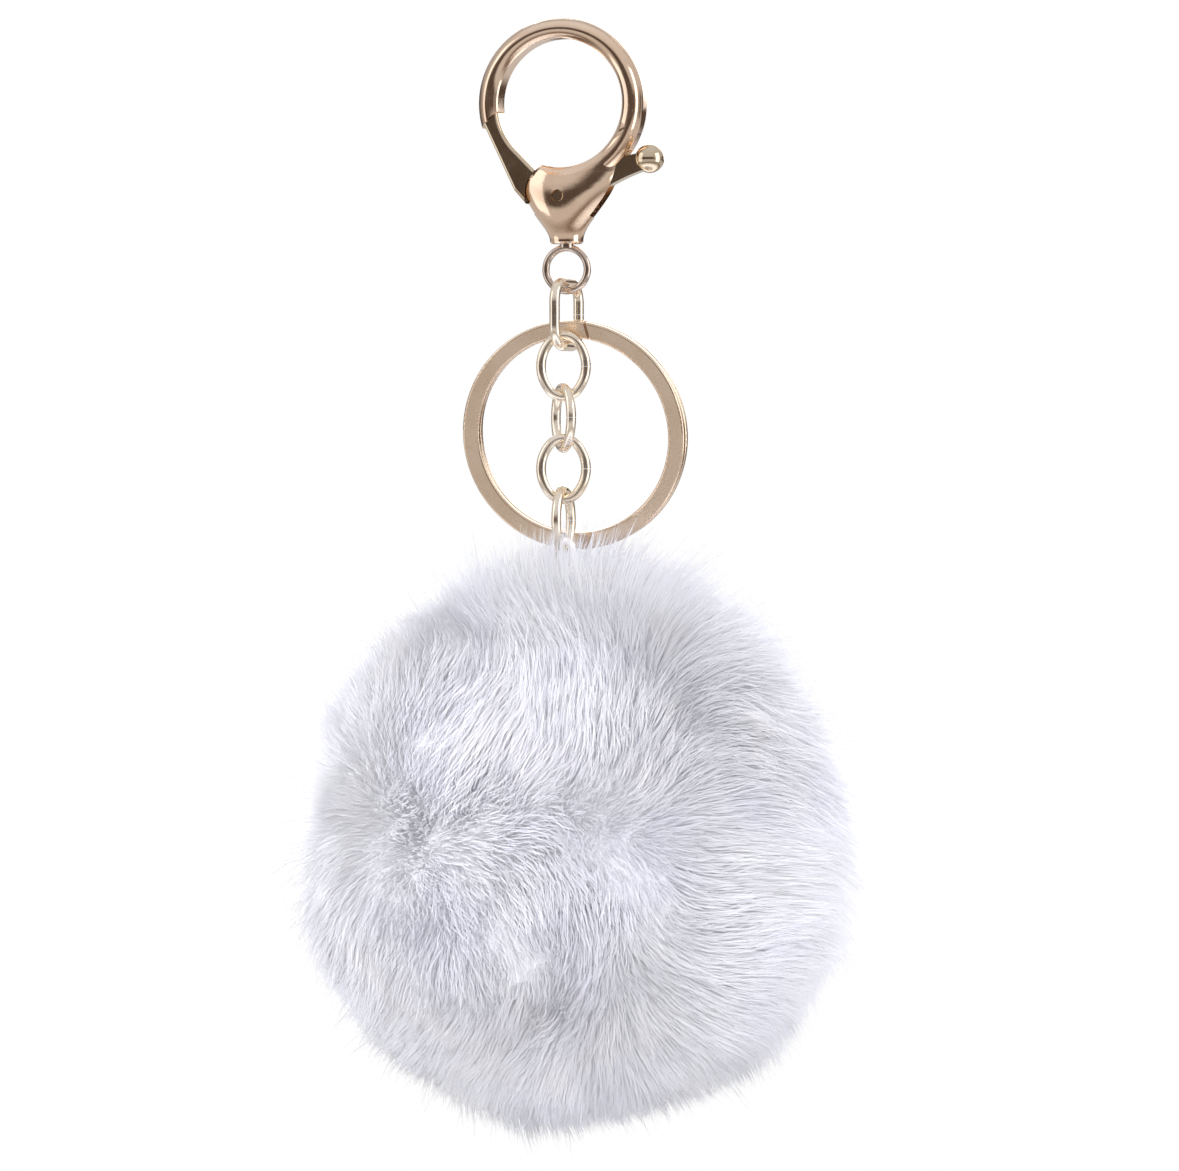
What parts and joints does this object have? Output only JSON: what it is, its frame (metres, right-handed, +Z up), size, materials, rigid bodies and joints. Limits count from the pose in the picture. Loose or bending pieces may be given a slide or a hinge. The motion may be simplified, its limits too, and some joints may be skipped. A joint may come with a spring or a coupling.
{
  "type": "plush pom-pom keychain",
  "caption": "Keychain with a trigger clasp on a swivel, a short chain of wire links, a split ring for keys and a round long-pile plush pom-pom.",
  "frame": {"origin": "centre of the clasp hook's round opening, half-way through its depth", "axes": "+Z up with the keychain hanging from its clasp, -Y towards the clasp's front, +X towards the thumb lever"},
  "size_m": [0.0724, 0.0724, 0.1434],
  "materials": {
    "clasp_metal": "polished",
    "chain_metal": "polished",
    "ring_metal": "polished",
    "spring_steel": "satin",
    "fur": "matte",
    "fibre": "matte",
    "thread": "matte",
    "cord": "satin"
  },
  "bodies": {
    "clasp": {"clasp_body": "clasp_metal", "gate_pin": "clasp_metal"},
    "gate": {"gate_lever": "clasp_metal", "gate_spring": "spring_steel"},
    "swivel": {"swivel_eye": "chain_metal"},
    "chain_link_1": {"link_1": "chain_metal"},
    "ring": {"split_ring": "ring_metal"},
    "chain_link_2": {"link_2": "chain_metal"},
    "chain_link_3": {"link_3": "chain_metal"},
    "chain_link_4": {"link_4": "chain_metal"},
    "chain_link_5": {"link_5": "chain_metal"},
    "pompom": {"fur_ball": "fur", "stuffing": "fibre", "gathering_thread": "thread", "cord_loop": "cord"}
  },
  "joints": [
    {"name": "gate_hinge", "type": "hinge", "parent": "clasp", "child": "gate", "pos_m": [0.0001, 0, -0.0121], "axis": [0, 1, 0], "range_deg": [0, 26], "stiffness_Nm_per_rad": 0.004, "deforming": ["gate_spring"]},
    {"name": "swivel_turn", "type": "hinge", "parent": "clasp", "child": "swivel", "pos_m": [0.0005, 0, -0.01828], "axis": [0, 0, 1], "continuous": true},
    {"name": "link_1_rock", "type": "hinge", "parent": "swivel", "child": "chain_link_1", "pos_m": [0.0005, 0, -0.0244], "axis": [-1, 0, 0], "range_deg": [-60, 60]},
    {"name": "ring_swing", "type": "hinge", "parent": "chain_link_1", "child": "ring", "pos_m": [0.00068, 0.00131, -0.02928], "axis": [1, 0, 0], "range_deg": [0, 90]},
    {"name": "link_2_rock", "type": "hinge", "parent": "chain_link_1", "child": "chain_link_2", "pos_m": [0.0005, 0, -0.03155], "axis": [0.1392, 0.9903, 0], "range_deg": [-28, 14]},
    {"name": "link_3_rock", "type": "hinge", "parent": "chain_link_2", "child": "chain_link_3", "pos_m": [0.00036, -0.00099, -0.03816], "axis": [0.9563, 0.2924, 0], "range_deg": [-60, 0]},
    {"name": "link_4_rock", "type": "hinge", "parent": "chain_link_3", "child": "chain_link_4", "pos_m": [0.00036, -0.00099, -0.04482], "axis": [0.5878, -0.809, 0], "range_deg": [-60, 12]},
    {"name": "link_5_rock", "type": "hinge", "parent": "chain_link_4", "child": "chain_link_5", "pos_m": [0.00036, -0.00099, -0.05149], "axis": [-0.9563, -0.2924, 0], "range_deg": [-15, 60]},
    {"name": "pompom_rock", "type": "hinge", "parent": "chain_link_5", "child": "pompom", "pos_m": [0.00036, -0.00099, -0.05815], "axis": [0.0523, 0.9986, 0], "range_deg": [-30, 30]}
  ]
}
